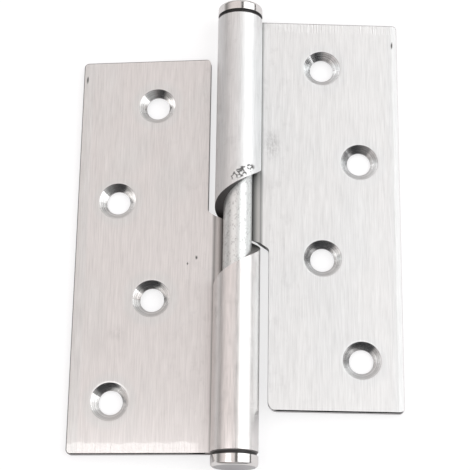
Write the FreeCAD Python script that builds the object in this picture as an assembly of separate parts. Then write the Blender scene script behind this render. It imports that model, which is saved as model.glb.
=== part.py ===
import FreeCAD, Part
import math
import os

# Rising butt hinge, opened flat and lying on its back.
# X runs across the leaves, Y along the hinge axis, Z up. The floor is z = 0.
# The origin is below the middle of the hinge axis. Millimetres and degrees.

# Leaves, both cut and rolled from the same sheet
leaf_height = 125.0
leaf_reach = 50.0
leaf_thickness = 2.6
closed_gap = 1.6
corner_radius = 1.5
edge_break = 0.35

# Rolled knuckles
pin_diameter = 8.7
pin_clearance = 0.05
bend_inner_radius = 1.2
seam_gap = 0.4

# Helical ramp: the rise in one full turn, and where the frame knuckle's ramp stands at the front
ramp_lead = 24.4
ramp_gap = 0.9
frame_ramp_front = 55.4

# Notch in each leaf, beside the other leaf's knuckle
frame_notch_clearance = 2.3
door_notch_clearance = 2.7
notch_fillet = 1.2
frame_notch_corner = 1.5
door_notch_corner = 3.0

# Countersunk screw holes in two staggered columns
hole_diameter = 7.3
countersink_diameter = 11.5
countersink_angle = 90.0
hole_pitch = 31.3
inner_column = 26.0
outer_column = 37.5

# End caps and washers
cap_height = 3.2
cap_rim_radius = 1.0
stem_length = 6.0
stem_clearance = 0.03
stem_chamfer = 0.5
washer_thickness = 0.9
washer_recess = 0.5
washer_clearance = 0.1
pin_end_gap = 0.3
pin_chamfer = 0.6

# Room left round a cutter, so that no two faces coincide
cut_margin = 0.5

# Turn between the points that a helical edge is drawn through
helix_step = 7.5

# Worked out from the sizes above
bore_radius = pin_diameter / 2 + pin_clearance
barrel_radius = bore_radius + leaf_thickness
face_setback = closed_gap / 2
back_setback = face_setback + leaf_thickness
bend_outer_radius = bend_inner_radius + leaf_thickness
bend_drop = back_setback + bend_inner_radius
centre_distance = barrel_radius + bend_inner_radius
bend_reach = math.sqrt(centre_distance**2 - bend_drop**2)
root_angle = math.degrees(math.atan2(bend_drop, bend_reach))
bend_angle = math.degrees(math.atan2(face_setback + leaf_thickness / 2, bend_reach))
tip_angle = math.degrees(math.asin((face_setback - seam_gap) / barrel_radius))
seam_angle = math.degrees(seam_gap / barrel_radius)
frame_notch_edge = barrel_radius + frame_notch_clearance
door_notch_edge = barrel_radius + door_notch_clearance

# Each leaf slopes from the barrel down to its outer edge when the hinge lies on its back
foot_reach = leaf_reach - edge_break
leaf_slope = math.degrees(
    math.asin(barrel_radius / math.hypot(foot_reach, back_setback)) - math.atan2(back_setback, foot_reach)
)
open_angle = 180.0 + 2 * leaf_slope
rise = ramp_lead * open_angle / 360.0
door_ramp_front = leaf_height - ramp_lead / 2 - ramp_gap - frame_ramp_front
mid_height = (leaf_height + rise) / 2
stem_radius = bore_radius - stem_clearance

axis_y = FreeCAD.Vector(0, 1, 0)
axis_z = FreeCAD.Vector(0, 0, 1)
no_move = FreeCAD.Vector(0, 0, 0)


def polar(radius, angle, y=0.0):
    """A point round the hinge axis; the angle runs from +X towards +Z."""
    turn = math.radians(angle)
    return FreeCAD.Vector(radius * math.cos(turn), y, radius * math.sin(turn))


def round_bend(radius, angle, y=0.0):
    """A point round the centre line of the bend between the plate and the knuckle."""
    return FreeCAD.Vector(-bend_reach, 0, -bend_drop) + polar(radius, angle, y)


def line(start, end):
    return Part.LineSegment(start, end).toShape()


def arc(start, middle, end):
    return Part.Arc(start, middle, end).toShape()


def near(value, target):
    return abs(value - target) < 0.01


def edges_at(shape, x, y):
    """The edges of a shape that run up through one point of the plan."""
    return [edge for edge in shape.Edges if all(near(v.X, x) and near(v.Y, y) for v in edge.Vertexes)]


def sheet_section():
    """The leaf's section: a flat plate, a bend back behind the pin, and a curl round the bore."""
    curl_start = root_angle - 180.0
    curl_end = 180.0 + tip_angle
    curl_middle = (curl_start + curl_end) / 2
    bend_middle = (root_angle + 90.0) / 2
    outer_face = FreeCAD.Vector(-leaf_reach, 0, -face_setback)
    outer_back = FreeCAD.Vector(-leaf_reach, 0, -back_setback)
    edges = [
        line(outer_face, round_bend(bend_outer_radius, 90.0)),
        arc(
            round_bend(bend_outer_radius, 90.0),
            round_bend(bend_outer_radius, bend_middle),
            polar(bore_radius, curl_start),
        ),
        arc(polar(bore_radius, curl_start), polar(bore_radius, curl_middle), polar(bore_radius, curl_end)),
        line(polar(bore_radius, curl_end), polar(barrel_radius, curl_end)),
        arc(
            polar(barrel_radius, curl_end),
            polar(barrel_radius, curl_middle),
            polar(barrel_radius, curl_start),
        ),
        arc(
            polar(barrel_radius, curl_start),
            round_bend(bend_inner_radius, bend_middle),
            round_bend(bend_inner_radius, 90.0),
        ),
        line(round_bend(bend_inner_radius, 90.0), outer_back),
        line(outer_back, outer_face),
    ]
    return Part.Face(Part.Wire(edges))


def screw_surface(point_at, inner, outer, start_angle, start_y, end_angle, end_y):
    """A ramp ruled straight out from its axis, between an inner and an outer helical edge."""
    spans = math.ceil(abs(end_angle - start_angle) / helix_step)
    rails = []
    for radius in (inner, outer):
        points = []
        for span in range(spans + 1):
            share = span / spans
            angle = start_angle + (end_angle - start_angle) * share
            points.append(point_at(radius, angle, start_y + (end_y - start_y) * share))
        rail = Part.BSplineCurve()
        rail.interpolate(points)
        rails.append(rail)
    return rails[0].makeRuledSurface(rails[1]).toShape()


def ramp_cutters(front_height, notch_edge):
    """What is cut away above the ramp: round the curl, across the bend and along the plate."""
    slope = ramp_lead / (2 * math.pi * (bore_radius + leaf_thickness / 2))
    tip = 180.0 + tip_angle + seam_angle / 2
    root = root_angle - 180.0
    tip_y = front_height - ramp_lead * (tip - 90.0) / 360.0
    root_y = front_height - ramp_lead * (root - 90.0) / 360.0
    bend_y = root_y + ramp_lead * (root_angle - bend_angle) / 360.0
    notch_y = bend_y + slope * (notch_edge - bend_reach)
    past_end = leaf_height + ramp_lead
    upwards = FreeCAD.Vector(0, past_end, 0)

    inside = bore_radius - cut_margin
    outside = barrel_radius + cut_margin
    curl = screw_surface(polar, inside, outside, root, root_y, tip, tip_y)
    inside = bend_inner_radius - cut_margin
    outside = bend_outer_radius + cut_margin
    bend = screw_surface(round_bend, inside, outside, root_angle, root_y, 90.0, bend_y)

    low = -back_setback - cut_margin
    depth = leaf_thickness + 2 * cut_margin
    corners = [
        FreeCAD.Vector(-bend_reach, bend_y, low),
        FreeCAD.Vector(-notch_edge, notch_y, low),
        FreeCAD.Vector(-notch_edge, past_end, low),
        FreeCAD.Vector(-bend_reach, past_end, low),
    ]
    notch = Part.Face(Part.makePolygon(corners + corners[:1])).extrude(FreeCAD.Vector(0, 0, depth))
    notch = notch.makeFillet(notch_fillet, edges_at(notch, -notch_edge, notch_y))
    return [curl.extrude(upwards), bend.extrude(upwards), notch]


def screw_hole(reach, y):
    """One countersunk hole through the plate, seen from its front face."""
    radius = hole_diameter / 2
    mouth = countersink_diameter / 2
    flare = math.tan(math.radians(countersink_angle / 2))
    depth = (mouth - radius) / flare
    top = FreeCAD.Vector(-reach, y, -face_setback)
    down = FreeCAD.Vector(0, 0, -1)
    shank = Part.makeCylinder(radius, leaf_thickness + 2 * cut_margin, top - down * cut_margin, down)
    sink = Part.makeCone(
        mouth + cut_margin * flare, radius, depth + cut_margin, top - down * cut_margin, down
    )
    return shank.fuse(sink)


def sheet_blank():
    """The rolled sheet before it is cut: outer corners rounded, and every edge of the outline broken."""
    blank = sheet_section().extrude(FreeCAD.Vector(0, leaf_height, 0))
    corners = edges_at(blank, -leaf_reach, 0) + edges_at(blank, -leaf_reach, leaf_height)
    blank = blank.makeFillet(corner_radius, corners)
    sides = [
        edge
        for edge in blank.Edges
        if all(near(v.X, -leaf_reach) for v in edge.Vertexes) and edge.Length > leaf_thickness
    ]
    return blank.makeChamfer(edge_break, sides)


def make_leaf(front_height, notch_edge, notch_corner, columns):
    """One leaf with its knuckle at the low end, the plate towards -X and the axis at x = 0, z = 0."""
    leaf = sheet_blank()
    for cutter in ramp_cutters(front_height, notch_edge):
        leaf = leaf.cut(cutter)
    leaf = leaf.makeFillet(notch_corner, edges_at(leaf, -notch_edge, leaf_height))
    first = (leaf_height - hole_pitch * (len(columns) - 1)) / 2
    for row, reach in enumerate(columns):
        leaf = leaf.cut(screw_hole(reach, first + hole_pitch * row))
    return leaf


def make_cap():
    """A cap with its stem, standing below y = 0 on a washer, to be turned over for the top."""
    rim = -washer_thickness
    foot = rim - cap_height
    half = 1.0 - math.sqrt(0.5)
    start = FreeCAD.Vector(0, foot, 0)
    flat_end = FreeCAD.Vector(barrel_radius - cap_rim_radius, foot, 0)
    rim_middle = FreeCAD.Vector(barrel_radius - cap_rim_radius * half, foot + cap_rim_radius * half, 0)
    rim_end = FreeCAD.Vector(barrel_radius, foot + cap_rim_radius, 0)
    points = [
        rim_end,
        FreeCAD.Vector(barrel_radius, rim, 0),
        FreeCAD.Vector(stem_radius, rim, 0),
        FreeCAD.Vector(stem_radius, stem_length - stem_chamfer, 0),
        FreeCAD.Vector(stem_radius - stem_chamfer, stem_length, 0),
        FreeCAD.Vector(0, stem_length, 0),
        start,
    ]
    edges = [line(start, flat_end), arc(flat_end, rim_middle, rim_end)]
    edges += [line(a, b) for a, b in zip(points, points[1:])]
    return Part.Face(Part.Wire(edges)).revolve(no_move, axis_y, 360)


def make_washer():
    """A flat ring between the cap and the end of the knuckle."""
    base = FreeCAD.Vector(0, -washer_thickness, 0)
    ring = Part.makeCylinder(barrel_radius - washer_recess, washer_thickness, base, axis_y)
    return ring.cut(Part.makeCylinder(stem_radius + washer_clearance, washer_thickness, base, axis_y))


def make_pin():
    """The pin, from the bottom cap's stem up to the top cap's stem when the hinge is closed."""
    low = stem_length + pin_end_gap
    high = leaf_height - stem_length - pin_end_gap
    pin = Part.makeCylinder(pin_diameter / 2, high - low, FreeCAD.Vector(0, low, 0), axis_y)
    ends = [edge for edge in pin.Edges if isinstance(edge.Curve, Part.Circle)]
    return pin.makeChamfer(pin_chamfer, ends)


def on_frame_side(shape):
    """From the frame leaf's own place to the place it lies in."""
    shape.rotate(no_move, axis_y, -leaf_slope)
    shape.translate(FreeCAD.Vector(0, -mid_height, barrel_radius))
    return shape


def on_door_side(shape):
    """The door side is turned end for end and stands risen by the ramp."""
    shape.rotate(no_move, axis_z, 180)
    shape.rotate(no_move, axis_y, leaf_slope)
    shape.translate(FreeCAD.Vector(0, mid_height, barrel_radius))
    return shape


frame_columns = [outer_column, inner_column, outer_column, inner_column]
door_columns = [inner_column, outer_column, inner_column, outer_column]

frame_leaf = make_leaf(frame_ramp_front, frame_notch_edge, frame_notch_corner, frame_columns)
door_leaf = make_leaf(door_ramp_front, door_notch_edge, door_notch_corner, door_columns)

parts = {
    "frame_leaf": on_frame_side(frame_leaf),
    "bottom_cap": on_frame_side(make_cap()),
    "bottom_washer": on_frame_side(make_washer()),
    "hinge_pin": on_frame_side(make_pin()),
    "door_leaf": on_door_side(door_leaf),
    "top_cap": on_door_side(make_cap()),
    "top_washer": on_door_side(make_washer()),
}

os.makedirs("parts", exist_ok=True)
for name, shape in parts.items():
    shape.exportStep("parts/" + name + ".step")
    print(name, "valid", shape.isValid(), "solids", len(shape.Solids), "volume", round(shape.Volume, 1))
print("leaf slope", round(leaf_slope, 3), "rise", round(rise, 3), "open", round(open_angle, 3))
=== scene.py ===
import math
import bpy
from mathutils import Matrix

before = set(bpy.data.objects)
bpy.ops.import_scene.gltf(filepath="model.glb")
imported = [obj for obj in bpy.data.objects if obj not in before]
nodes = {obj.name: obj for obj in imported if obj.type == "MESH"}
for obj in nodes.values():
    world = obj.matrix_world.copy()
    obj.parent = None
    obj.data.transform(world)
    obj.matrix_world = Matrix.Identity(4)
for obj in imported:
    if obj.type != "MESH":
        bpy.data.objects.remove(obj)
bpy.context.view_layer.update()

bpy.ops.object.select_all(action="DESELECT")
print("hinge loaded:", ", ".join(sorted(nodes)))


# small helpers for building node trees

noiseSpread = (0.3, 0.7)   # most of a noise lies between these


def addNode(tree, kind, inputs=None, **settings):
    node = tree.nodes.new(kind)
    for key, value in settings.items():
        setattr(node, key, value)
    for key, value in (inputs or {}).items():
        if isinstance(value, bpy.types.NodeSocket):
            tree.links.new(value, node.inputs[key])
        else:
            node.inputs[key].default_value = value
    return node


def maths(tree, operation, first, second=0.0, clamp=False):
    inputs = {0: first, 1: second}
    return addNode(tree, "ShaderNodeMath", inputs, operation=operation, use_clamp=clamp).outputs[0]


def multiply(tree, first, *others):
    for other in others:
        first = maths(tree, "MULTIPLY", first, other)
    return first


def largest(tree, first, *others):
    for other in others:
        first = maths(tree, "MAXIMUM", first, other)
    return first


def vectorMaths(tree, operation, *values):
    node = addNode(tree, "ShaderNodeVectorMath", dict(enumerate(values)), operation=operation)
    givesNumber = operation in ("DISTANCE", "LENGTH", "DOT_PRODUCT")
    return node.outputs["Value" if givesNumber else "Vector"]


def split(tree, vector):
    return addNode(tree, "ShaderNodeSeparateXYZ", {0: vector}).outputs


def join(tree, x=0.0, y=0.0, z=0.0):
    return addNode(tree, "ShaderNodeCombineXYZ", {"X": x, "Y": y, "Z": z}).outputs[0]


def remap(tree, value, low, high, toLow=0.0, toHigh=1.0, smooth=False):
    kind = "SMOOTHSTEP" if smooth else "LINEAR"
    inputs = {"Value": value, "From Min": low, "From Max": high, "To Min": toLow, "To Max": toHigh}
    return addNode(tree, "ShaderNodeMapRange", inputs, interpolation_type=kind).outputs["Result"]


def noise(tree, vector, scale, detail=2.0, roughness=0.5):
    mapping = addNode(tree, "ShaderNodeMapping", {"Vector": vector, "Scale": scale})
    inputs = {"Vector": mapping.outputs["Vector"], "Scale": 1.0, "Detail": detail, "Roughness": roughness}
    return addNode(tree, "ShaderNodeTexNoise", inputs).outputs["Fac"]


def blendNumbers(tree, factor, first, second):
    return addNode(tree, "ShaderNodeMix", {"Factor": factor, 2: first, 3: second}).outputs[0]


def blendColours(tree, factor, first, second):
    mix = addNode(tree, "ShaderNodeMix", data_type="RGBA")
    tree.links.new(factor, mix.inputs["Factor"])
    for socket, value in ((mix.inputs[6], first), (mix.inputs[7], second)):
        if isinstance(value, bpy.types.NodeSocket):
            tree.links.new(value, socket)
        else:
            socket.default_value = (*value, 1.0)
    return mix.outputs[2]


def ovalReach(tree, where, middle, half):   # 1 on the rim of an oval, seen from above
    scale = (1.0 / half[0], 1.0 / half[1], 0.0)
    shift = (-middle[0] / half[0], -middle[1] / half[1], 0.0)
    return vectorMaths(tree, "LENGTH", vectorMaths(tree, "MULTIPLY_ADD", where, scale, shift))


def newMaterial(name):
    material = bpy.data.materials.new(name)
    material.use_nodes = True
    tree = material.node_tree
    shader = tree.nodes["Principled BSDF"]
    place = addNode(tree, "ShaderNodeTexCoord").outputs
    return material, tree, shader, place


def addRelief(tree, shader, height):
    bump = addNode(tree, "ShaderNodeBump", {"Height": height, "Distance": 1.0, "Strength": 1.0})
    tree.links.new(bump.outputs["Normal"], shader.inputs["Normal"])


def dress(nodeName, material):
    for slot in nodes[nodeName].material_slots:
        slot.material = material


# camera, at the place the photo was taken from
viewpoint = {
    "place": (0.01623, -0.13059, 0.41002),
    "turn": (17.6136, 2.1518, 0.8059),   # degrees
    "lens": 107.023,
    "sensor": 36.0,
}
cameraData = bpy.data.cameras.new("photoCamera")
cameraData.lens = viewpoint["lens"]
cameraData.sensor_width = viewpoint["sensor"]
cameraData.sensor_fit = "HORIZONTAL"
camera = bpy.data.objects.new("photoCamera", cameraData)
camera.location = viewpoint["place"]
camera.rotation_euler = [math.radians(angle) for angle in viewpoint["turn"]]
bpy.context.scene.collection.objects.link(camera)
bpy.context.scene.camera = camera
bpy.context.scene.view_settings.view_transform = "Standard"
print("camera set")


# white floor, which keeps the soft shadow
floorLook = {
    "size": 40.0,
    "colour": (0.8, 0.8, 0.81, 1.0),
    "liftInMetal": 0.08,
    "seenColour": (0.34, 0.34, 0.348, 1.0),
    "lift": 0.72,
}
bpy.ops.mesh.primitive_plane_add(size=floorLook["size"])
floor = bpy.context.object
floor.name = "whiteFloor"
floorPaint = bpy.data.materials.new("whiteFloor")
floorPaint.use_nodes = True
tree = floorPaint.node_tree
tree.nodes.remove(tree.nodes["Principled BSDF"])
path = addNode(tree, "ShaderNodeLightPath").outputs
mirrored = maths(tree, "MAXIMUM", path["Is Glossy Ray"], path["Is Transmission Ray"])
mirrored = maths(tree, "MULTIPLY", mirrored, floorLook["liftInMetal"])
floorSides = []
for colour, lift in ((floorLook["colour"], mirrored), (floorLook["seenColour"], floorLook["lift"])):
    paint = addNode(tree, "ShaderNodeBsdfDiffuse", {"Color": colour})
    glow = addNode(tree, "ShaderNodeEmission", {"Strength": lift})
    side = addNode(tree, "ShaderNodeAddShader", {0: paint.outputs[0], 1: glow.outputs[0]})
    floorSides.append(side.outputs[0])
seen = addNode(tree, "ShaderNodeMixShader", {0: path["Is Camera Ray"], 1: floorSides[0], 2: floorSides[1]})
tree.links.new(seen.outputs[0], tree.nodes["Material Output"].inputs["Surface"])
floor.data.materials.append(floorPaint)


# pale grey studio room round the table: dark low on the right and at the front
roomLook = {
    "leftTable": (0.46, 0.445, 0.435),
    "leftWall": (0.26, 0.25, 0.243),
    "backWall": (0.58, 0.565, 0.555),
    "rightWall": (0.13, 0.125, 0.125),
    "leftCeiling": (0.90, 0.83, 0.81),
    "rightCeiling": (0.80, 0.80, 0.795),
    "darkFront": (0.035, 0.035, 0.037),
    "boxFrame": (0.17, 0.16, 0.155),    # dark frame along the right box's upper side
    # where one part fades into the next, on the axes of a unit direction
    "tableToWall": (0.08, 0.2),
    "leftToBack": (-0.75, -0.35),
    "backToRight": (0.4, 0.75),
    "acrossCeiling": (-0.05, 0.2),
    "wallToCeiling": (0.15, 0.7),
    "darkFrontStart": (-0.5, -0.75),
    "darkFrontTop": (0.52, 0.4),
    "frameInside": (0.06, 0.13),
    "frameOutside": (0.42, 0.36),
    "frameFoot": (0.7, 0.8),
}
world = bpy.data.worlds.new("studioRoom")
bpy.context.scene.world = world
world.use_nodes = True
tree = world.node_tree
axes = split(tree, addNode(tree, "ShaderNodeTexCoord").outputs["Generated"])


def fade(axis, stretch, smooth=True):
    return remap(tree, axes[axis], *roomLook[stretch], smooth=smooth)


left = blendColours(tree, fade("Z", "tableToWall"), roomLook["leftTable"], roomLook["leftWall"])
walls = blendColours(tree, fade("X", "leftToBack"), left, roomLook["backWall"])
walls = blendColours(tree, fade("X", "backToRight"), walls, roomLook["rightWall"])
ceiling = blendColours(tree, fade("X", "acrossCeiling"), roomLook["leftCeiling"], roomLook["rightCeiling"])
room = blendColours(tree, fade("Z", "wallToCeiling"), walls, ceiling)
darkFront = multiply(tree, fade("Y", "darkFrontStart"), fade("Z", "darkFrontTop"))
room = blendColours(tree, darkFront, room, roomLook["darkFront"])
boxFrame = multiply(tree, fade("X", "frameInside", False), fade("X", "frameOutside", False))
boxFrame = multiply(tree, boxFrame, fade("Z", "frameFoot"))
room = blendColours(tree, boxFrame, room, roomLook["boxFrame"])
tree.links.new(room, tree.nodes["Background"].inputs["Color"])


# two soft boxes, a long one on the right and a small one at the front left
softBoxes = {
    "rightBox": {"lean": 49.5, "along": 0.2, "size": (1.2, 1.4), "radiance": 1.22},
    "leftBox": {"lean": -26.0, "along": -0.25, "size": (0.5, 0.66), "radiance": 1.25},
}
for boxName, box in softBoxes.items():
    light = bpy.data.lights.new(boxName, "AREA")
    light.shape = "RECTANGLE"
    light.size, light.size_y = box["size"]
    light.energy = box["radiance"] * math.pi * light.size * light.size_y
    lamp = bpy.data.objects.new(boxName, light)
    lean = math.radians(box["lean"])
    lamp.location = (math.sin(lean), box["along"], math.cos(lean))
    lamp.rotation_euler = (0.0, lean, 0.0)
    bpy.context.scene.collection.objects.link(lamp)
print("studio set")


# brushed steel of both leaves, with sizes in metres and grains in waves a metre
leafLook = {
    # dark colours the specks and scuffs, and is also the painted shade deep inside the curl facing the pin
    "dark": (0.07, 0.07, 0.07),
    "plateRoughness": 0.31,
    "streakRoughness": 0.04,
    "cutRoughness": (0.10, 0.38),       # the lower walls of the countersinks are rougher
    "roughFacing": (0.0, 0.5),
    "dullRoughness": 0.5,
    "rampRoughness": 0.95,
    "fineGrain": (3000.0, 130.0, 3000.0),
    "broadGrain": (800.0, 60.0, 800.0),
    "fineShare": 0.75,
    "streakSpread": (0.2, 0.8),
    "streakShade": (0.85, 1.13),
    "streakDepth": 2.6e-6,
    "ringGrain": (3800.0, 0.0, 0.0),    # rings that the countersinking tool left
    "ringSpread": (0.35, 0.65),
    "ringShade": (0.68, 1.26),
    "ringDepth": 2.5e-6,
    "cloudGrain": (45.0, 30.0, 45.0),   # cooler clouds, and always near the holes, and near the outer edge as a painted reflection
    "cloudSpread": (0.45, 0.75),
    "cloudWander": 0.004,
    "coolEdge": (0.0475, 0.0495),
    "coolHole": (0.0115, 0.0085),
    "smudgeGrain": (330.0, 260.0, 330.0),
    "smudgeSpread": (0.54, 0.68),
    "smudgeReach": (0.024, 0.010),
    "smudgeDepth": (0.015, 0.05),
    "stainGrain": (1300.0, 700.0, 1300.0),
    "stainSpread": (0.3, 0.62),
    "stainFade": (1.0, 0.1),
    "creaseShadeReach": (0.0078, 0.0071),    # painted shade along the line between the plate and the knuckle
    "creaseShadeDepth": 0.6,
    "speckFade": (1.0, 0.4),
    "speckRagged": (0.7, 1.6),
    "markDepth": 0.85,
    "flatFacing": (0.96, 0.985),        # how far a face turns to the front, the end or the axis
    "sideFacing": (0.6, 0.4),
    "rampFacing": (0.25, 0.45),
    "knuckleFacing": (0.8, 0.95),
    # the inside of the curl, facing the pin, gets painted shade
    "deepShadeFacing": (-0.3, -0.85),
    "kneeReach": 0.0085,                # from the axis to where the flat plate begins
    "edgeReach": 0.0493,
    "notchReach": 0.0099,
    "endEdge": 0.0006,
    "axisHeight": 0.007,
    "slope": (0.0727, 0.99736),         # outwards and upwards, the plate leans a little
    "endFromMiddle": 0.068883,
    "length": 0.125,
    "rollLength": 0.0034,               # the plate's end is rubbed down over this length
    "rollGrain": (160.0, 0.0, 0.0),
    "rollWave": (0.8, 1.12),
    "raggedGrain": (2400.0, 0.0, 0.0),
    "rollRagged": 0.0006,
    "rollTilt": 0.07,
    "rollStart": (0.0095, 0.0145),
    "sideRollReach": 0.0480,            # and its long outer side is rubbed from here outwards
    "sideRollTilt": 0.09,
    "rows": (0.053333, 0.022033, -0.009267, -0.040567),
    "rimReach": 0.0062,                 # rim of a countersink, turned over a little
    "rimTilt": 0.08,
}
frameLook = {
    "endSide": -1.0,
    "columns": (0.037343, 0.025873, 0.037343, 0.025873),
    "warm": (0.82, 0.80, 0.793),
    "cool": (0.79, 0.79, 0.785),
    "knuckleRoughness": 0.20,
    # the ramp ends are painted dark: a dull cut tone with painted shade in it
    "rampEnd": (0.50, 0.485, 0.48),
    "bend": (0.92, 0.875, 0.855),       # the set bend facing the pin, where no brush reaches, in a dull tone of its own
    "bendShade": (-0.095, -0.40),
    # the cut faces round the notch and the ends are dark: a dull cut tone with painted shade in it
    "edge": (0.31, 0.30, 0.30),
    # the frame leaf's outer cut side, facing away from the right soft box, is painted shade
    "outerEdgeShadeAndHighlight": (0.27, 0.26, 0.26),
    "stain": {"middle": (-0.0359, -0.0326), "half": (0.0040, 0.0034), "depth": 0.09},
    "specks": (
        {"middle": (-0.01505, -0.01127), "half": (0.00045, 0.00045)},
        {"middle": (-0.01235, -0.00942), "half": (0.0005, 0.0009)},
        {"middle": (-0.04849, 0.0503), "half": (0.0004, 0.0016)},
    ),
    "scuff": None,
}
doorLook = {
    "endSide": 1.0,
    "columns": (0.025873, 0.037343, 0.025873, 0.037343),
    "warm": (0.82, 0.827, 0.829),
    "cool": (0.80, 0.813, 0.818),
    "knuckleRoughness": 0.30,
    # the door leaf's ramp end faces down and is painted darkest: painted shade
    "rampEnd": (0.21, 0.206, 0.207),
    # the door leaf's bend, curling under the pin, is darker: painted shade over its dull tone
    "bend": (0.64, 0.635, 0.62),
    "bendShade": (-0.112, -0.16),
    "edge": (0.44, 0.435, 0.435),
    # the door leaf's outer cut side, facing the right soft box, is a painted highlight
    "outerEdgeShadeAndHighlight": (0.92, 0.92, 0.92),
    "stain": {"middle": (0.0102, 0.0272), "half": (0.0036, 0.0074), "depth": 0.24},
    "specks": ({"middle": (0.04807, 0.0618), "half": (0.0004, 0.0016)},),
    "scuff": {                          # worn patch, with nothing to read in it
        "middle": (0.0015, 0.0145),
        "half": (0.0039, 0.0019),
        "climb": 0.555,                 # the patch follows the ramp
        "cell": 760.0,
        "warpScale": 900.0,
        "warp": (0.0009, 0.0009, 0.0009),
        "lineFade": (0.22, 0.08),
        "breakGrain": (650.0, 650.0, 650.0),
        "breakSpread": (0.36, 0.46),
        "fade": (1.0, 0.8),
    },
}


def findLeafParts(tree, place, look):
    where, normal = place["Object"], place["Normal"]
    axes, facing = split(tree, where), split(tree, normal)
    endFacing = maths(tree, "ABSOLUTE", facing["Y"])
    reach = maths(tree, "ABSOLUTE", axes["X"])
    endwards = maths(tree, "MULTIPLY", axes["Y"], look["endSide"])
    fromEnd = maths(tree, "SUBTRACT", leafLook["endFromMiddle"], endwards)
    plan = join(tree, reach, endwards)
    fromHole = 1.0
    for column, row in zip(look["columns"], leafLook["rows"]):
        hole = vectorMaths(tree, "DISTANCE", plan, (column, row, 0.0))
        fromHole = maths(tree, "MINIMUM", hole, fromHole)

    # flat plate and cut faces, those round the outline apart from the countersinks
    flat = remap(tree, maths(tree, "ABSOLUTE", facing["Z"]), *leafLook["flatFacing"])
    front = maths(tree, "GREATER_THAN", facing["Z"], 0.0)
    onPlate = maths(tree, "GREATER_THAN", reach, leafLook["kneeReach"])
    cut = multiply(tree, onPlate, maths(tree, "SUBTRACT", 1.0, flat))
    toEnd = maths(tree, "MINIMUM", fromEnd, maths(tree, "SUBTRACT", leafLook["length"], fromEnd))
    atNotch = maths(tree, "LESS_THAN", reach, leafLook["notchReach"])
    atEnd = maths(tree, "LESS_THAN", toEnd, leafLook["endEdge"])
    outline = multiply(tree, cut, largest(tree, atNotch, atEnd))
    # the outer cut side, which gets painted shade on the frame leaf and a painted highlight on the door
    # leaf
    atSide = maths(tree, "GREATER_THAN", reach, leafLook["edgeReach"])
    outerEdgeShadeAndHighlight = multiply(tree, cut, atSide, remap(tree, endFacing, *leafLook["sideFacing"]))

    # knuckle outside, and the ramp end, the bend that faces the pin and the curl's inside, where shade is
    # painted
    onRoll = maths(tree, "SUBTRACT", 1.0, onPlate)
    rampEnd = multiply(tree, remap(tree, endFacing, *leafLook["rampFacing"]), onRoll)
    axisShift = (0.0, 0.0, -leafLook["axisHeight"])
    outward = vectorMaths(tree, "MULTIPLY_ADD", where, (1.0, 0.0, 1.0), axisShift)
    outward = vectorMaths(tree, "DOT_PRODUCT", vectorMaths(tree, "NORMALIZE", outward), normal)
    outward = multiply(tree, outward, onRoll)
    return {
        "where": where, "axes": axes, "reach": reach, "fromEnd": fromEnd, "fromHole": fromHole,
        "flat": flat, "front": front, "cut": cut, "outline": outline, "outerEdgeShadeAndHighlight": outerEdgeShadeAndHighlight,
        "rampEnd": rampEnd, "facingBack": facing["Y"],
        "knuckle": remap(tree, outward, *leafLook["knuckleFacing"]),
        "behindPin": remap(tree, outward, *look["bendShade"]),
        "deepShade": remap(tree, outward, *leafLook["deepShadeFacing"]),
    }


def addGrain(tree, part):
    where = part["where"]
    part["fine"] = noise(tree, where, leafLook["fineGrain"], 2.0, 0.6)
    broad = noise(tree, where, leafLook["broadGrain"], 2.0, 0.5)
    broad = multiply(tree, broad, 1.0 - leafLook["fineShare"])
    part["streak"] = maths(tree, "ADD", multiply(tree, part["fine"], leafLook["fineShare"]), broad)
    slopeX, slopeZ = leafLook["slope"]
    level = multiply(tree, part["axes"]["Z"], slopeZ)
    level = maths(tree, "ADD", multiply(tree, part["reach"], slopeX), level)
    part["rings"] = noise(tree, join(tree, level), leafLook["ringGrain"], 2.0, 0.6)


def leafTint(tree, part, look):
    cloud = noise(tree, part["where"], leafLook["cloudGrain"], 3.0, 0.5)
    wander = multiply(tree, cloud, leafLook["cloudWander"])
    nearEdge = maths(tree, "ADD", part["reach"], wander)
    # cooler near the outer edge: a painted reflection
    nearEdge = remap(tree, nearEdge, *leafLook["coolEdge"], smooth=True)
    nearHole = maths(tree, "ADD", part["fromHole"], wander)
    nearHole = remap(tree, nearHole, *leafLook["coolHole"], smooth=True)
    cool = remap(tree, cloud, *leafLook["cloudSpread"], smooth=True)
    cool = largest(tree, cool, nearEdge, nearHole)
    return blendColours(tree, cool, look["warm"], look["cool"])


def leafShade(tree, part, look):
    where = part["where"]
    smudge = noise(tree, where, leafLook["smudgeGrain"], 3.0, 0.6)
    smudge = remap(tree, smudge, *leafLook["smudgeSpread"], smooth=True)
    smudgeDepth = remap(tree, part["reach"], *leafLook["smudgeReach"], *leafLook["smudgeDepth"])
    shade = remap(tree, part["streak"], *leafLook["streakSpread"], *leafLook["streakShade"])
    shade = maths(tree, "SUBTRACT", shade, multiply(tree, smudge, smudgeDepth))

    stain = ovalReach(tree, where, look["stain"]["middle"], look["stain"]["half"])
    stain = remap(tree, stain, *leafLook["stainFade"], 0.0, look["stain"]["depth"], smooth=True)
    patchy = noise(tree, where, leafLook["stainGrain"], 3.0, 0.7)
    patchy = remap(tree, patchy, *leafLook["stainSpread"], smooth=True)
    shade = maths(tree, "SUBTRACT", shade, multiply(tree, stain, patchy, part["front"]))

    ringShade = remap(tree, part["rings"], *leafLook["ringSpread"], *leafLook["ringShade"])
    shade = blendNumbers(tree, part["cut"], shade, ringShade)
    # painted shade along the line where the plate meets the knuckle
    crease = remap(tree, part["reach"], *leafLook["creaseShadeReach"], 0.0, leafLook["creaseShadeDepth"])
    crease = multiply(tree, crease, maths(tree, "SUBTRACT", part["flat"], part["knuckle"], True))
    return multiply(tree, shade, maths(tree, "SUBTRACT", 1.0, crease))


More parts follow.
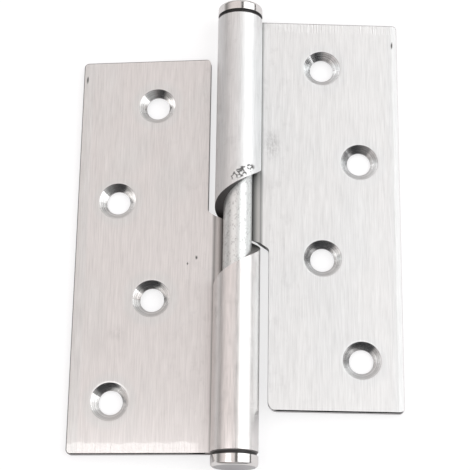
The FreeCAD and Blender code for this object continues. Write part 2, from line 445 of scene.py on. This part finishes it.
# small dark specks, and a rubbed patch of scuffs beside the ramp
def leafMarks(tree, part, look):
    where = part["where"]
    ragged = remap(tree, part["fine"], *noiseSpread, *leafLook["speckRagged"])
    marks = []
    for speck in look["specks"]:
        rim = multiply(tree, ovalReach(tree, where, speck["middle"], speck["half"]), ragged)
        marks.append(remap(tree, rim, *leafLook["speckFade"]))
    scuff = look["scuff"]
    if scuff:
        climb = multiply(tree, part["axes"]["X"], scuff["climb"])
        alongRamp = join(tree, part["axes"]["X"], maths(tree, "SUBTRACT", part["axes"]["Y"], climb))
        patch = ovalReach(tree, alongRamp, scuff["middle"], scuff["half"])
        patch = multiply(tree, remap(tree, patch, *scuff["fade"]), part["knuckle"])
        warpNoise = {"Vector": where, "Scale": scuff["warpScale"], "Detail": 2.0}
        warp = addNode(tree, "ShaderNodeTexNoise", warpNoise).outputs["Color"]
        warp = vectorMaths(tree, "MULTIPLY_ADD", warp, scuff["warp"], where)
        cells = {"Vector": warp, "Scale": scuff["cell"]}
        cells = addNode(tree, "ShaderNodeTexVoronoi", cells, feature="DISTANCE_TO_EDGE")
        lines = remap(tree, cells.outputs["Distance"], *scuff["lineFade"])
        broken = remap(tree, noise(tree, where, scuff["breakGrain"], 1.0), *scuff["breakSpread"])
        marks.append(multiply(tree, lines, broken, patch))
    return multiply(tree, largest(tree, *marks), part["front"])


def leafRoughness(tree, part, look, marks):
    rough = remap(tree, part["knuckle"], 0.0, 1.0, leafLook["plateRoughness"], look["knuckleRoughness"])
    swing = leafLook["streakRoughness"]
    swing = remap(tree, part["streak"], *leafLook["streakSpread"], -swing, swing)
    rough = maths(tree, "ADD", rough, swing)
    cutRough = remap(tree, part["facingBack"], *leafLook["roughFacing"], *leafLook["cutRoughness"])
    rough = blendNumbers(tree, part["cut"], rough, cutRough)
    dullPart = largest(tree, part["behindPin"], marks)
    rough = blendNumbers(tree, dullPart, rough, leafLook["dullRoughness"])
    return blendNumbers(tree, part["rampEnd"], rough, leafLook["rampRoughness"])


# streaks, rings, the rubbed end and side of the plate and the rims of its holes
def leafHeight(tree, part):
    where, reach = part["where"], part["reach"]
    rings = multiply(tree, part["rings"], part["cut"], leafLook["ringDepth"])
    depth = maths(tree, "ADD", multiply(tree, part["streak"], leafLook["streakDepth"]), rings)
    wavy = noise(tree, where, leafLook["rollGrain"])
    wavy = remap(tree, wavy, *noiseSpread, *leafLook["rollWave"])
    ragged = noise(tree, where, leafLook["raggedGrain"])
    ragged = remap(tree, ragged, *noiseSpread, -leafLook["rollRagged"], leafLook["rollRagged"])
    rubbed = maths(tree, "ADD", multiply(tree, wavy, leafLook["rollLength"]), ragged)
    roll = maths(tree, "MAXIMUM", maths(tree, "SUBTRACT", rubbed, part["fromEnd"]), 0.0)
    roll = multiply(tree, roll, -leafLook["rollTilt"])
    roll = multiply(tree, roll, remap(tree, reach, *leafLook["rollStart"], smooth=True))
    sideRoll = maths(tree, "MAXIMUM", maths(tree, "SUBTRACT", reach, leafLook["sideRollReach"]), 0.0)
    roll = maths(tree, "SUBTRACT", roll, multiply(tree, sideRoll, leafLook["sideRollTilt"]))
    rim = maths(tree, "MAXIMUM", maths(tree, "SUBTRACT", leafLook["rimReach"], part["fromHole"]), 0.0)
    rim = multiply(tree, rim, part["flat"], -leafLook["rimTilt"])
    worn = multiply(tree, maths(tree, "ADD", roll, rim), part["front"])
    return maths(tree, "ADD", depth, worn)


def makeLeafSteel(name, look):
    material, tree, shader, place = newMaterial(name)
    part = findLeafParts(tree, place, look)
    addGrain(tree, part)
    marks = leafMarks(tree, part, look)
    colour = vectorMaths(tree, "MULTIPLY", leafTint(tree, part, look), leafShade(tree, part, look))
    # ramp ends: a dull cut tone with painted shade, darkest on the downward-facing door ramp
    colour = blendColours(tree, part["rampEnd"], colour, look["rampEnd"])
    # the bend facing the pin: a dull tone, with painted shade on the door leaf
    colour = blendColours(tree, part["behindPin"], colour, look["bend"])
    # painted shade deep inside the curl, facing the pin
    colour = blendColours(tree, part["deepShade"], colour, leafLook["dark"])
    # cut faces round the notch and ends: dull tone with painted shade
    colour = blendColours(tree, part["outline"], colour, look["edge"])
    # outer cut side: painted shade on the frame leaf, a painted highlight on the door leaf
    colour = blendColours(tree, part["outerEdgeShadeAndHighlight"], colour, look["outerEdgeShadeAndHighlight"])
    colour = blendColours(tree, multiply(tree, marks, leafLook["markDepth"]), colour, leafLook["dark"])
    tree.links.new(colour, shader.inputs["Base Color"])
    tree.links.new(leafRoughness(tree, part, look, marks), shader.inputs["Roughness"])
    addRelief(tree, shader, leafHeight(tree, part))

    # light spreads across the brushing, and up the slope of a countersink
    across = join(tree, x=maths(tree, "SUBTRACT", 1.0, part["cut"]), z=part["cut"])
    across = addNode(tree, "ShaderNodeVectorTransform", {0: across}, vector_type="VECTOR",
                     convert_from="OBJECT", convert_to="WORLD")
    tree.links.new(across.outputs[0], shader.inputs["Tangent"])
    shader.inputs["Anisotropic"].default_value = 1.0
    shader.inputs["Metallic"].default_value = 1.0
    return material


dress("frame_leaf", makeLeafSteel("frameLeafSteel", frameLook))
dress("door_leaf", makeLeafSteel("doorLeafSteel", doorLook))
print("leaves dressed")


# pale pin with a fine speckled skin
pinLook = {
    "pale": (0.80, 0.82, 0.815),
    "dull": (0.54, 0.55, 0.545),
    "dullToPale": (0.36, 0.5),
    "roughness": (0.5, 0.36),
    "mottleGrain": (900.0, 420.0, 900.0),
    "speckGrain": (3200.0, 1500.0, 3200.0),
    "skinDepth": 5.0e-6,
}
pinSteel, tree, shader, place = newMaterial("speckledPinSteel")
mottle = noise(tree, place["Object"], pinLook["mottleGrain"], 4.0, 0.65)
speck = noise(tree, place["Object"], pinLook["speckGrain"], 2.0, 0.6)
skin = multiply(tree, maths(tree, "ADD", mottle, speck), 0.5)
colour = remap(tree, skin, *pinLook["dullToPale"], smooth=True)
colour = blendColours(tree, colour, pinLook["dull"], pinLook["pale"])
tree.links.new(colour, shader.inputs["Base Color"])
tree.links.new(remap(tree, skin, *noiseSpread, *pinLook["roughness"]), shader.inputs["Roughness"])
addRelief(tree, shader, multiply(tree, skin, pinLook["skinDepth"]))
shader.inputs["Metallic"].default_value = 1.0
dress("hinge_pin", pinSteel)
print("pin dressed")


# turned and polished caps, their flat ends left rougher and darkened with painted shade
capLook = {
    "colour": (0.80, 0.785, 0.775),
    "dull": (0.74, 0.73, 0.72),
    # the flat ends' darker colour is painted shade
    "endShadeColour": (0.42, 0.42, 0.43),
    "roughness": (0.09, 0.17),
    "endRoughness": 0.34,
    "endFacing": (0.93, 0.99),
    "hazeGrain": (300.0, 300.0, 300.0),
    "hazeSpread": (0.4, 0.65),
    "turningGrain": (60.0, 5200.0, 60.0),
    "turningDepth": 0.4e-6,
}
capSteel, tree, shader, place = newMaterial("polishedCapSteel")
flatEnd = maths(tree, "ABSOLUTE", split(tree, place["Normal"])["Y"])
flatEnd = remap(tree, flatEnd, *capLook["endFacing"])
haze = noise(tree, place["Object"], capLook["hazeGrain"], 3.0, 0.6)
colour = remap(tree, haze, *capLook["hazeSpread"])
colour = blendColours(tree, colour, capLook["colour"], capLook["dull"])
# painted shade on the caps' flat ends
colour = blendColours(tree, flatEnd, colour, capLook["endShadeColour"])
tree.links.new(colour, shader.inputs["Base Color"])
rough = remap(tree, haze, *noiseSpread, *capLook["roughness"])
rough = blendNumbers(tree, flatEnd, rough, capLook["endRoughness"])
tree.links.new(rough, shader.inputs["Roughness"])
turning = noise(tree, place["Object"], capLook["turningGrain"], 2.0, 0.5)
addRelief(tree, shader, multiply(tree, turning, capLook["turningDepth"]))
shader.inputs["Metallic"].default_value = 1.0
dress("bottom_cap", capSteel)
dress("top_cap", capSteel)
print("caps dressed")


# black washers
washerLook = {
    "black": (0.009, 0.008, 0.008),
    "grey": (0.022, 0.02, 0.02),
    "roughness": (0.4, 0.6),
    "dustGrain": (900.0, 900.0, 900.0),
}
washerBlack, tree, shader, place = newMaterial("blackWasher")
dust = noise(tree, place["Object"], washerLook["dustGrain"], 3.0, 0.6)
colour = blendColours(tree, dust, washerLook["black"], washerLook["grey"])
tree.links.new(colour, shader.inputs["Base Color"])
tree.links.new(remap(tree, dust, *noiseSpread, *washerLook["roughness"]), shader.inputs["Roughness"])
dress("bottom_washer", washerBlack)
dress("top_washer", washerBlack)
print("washers dressed")
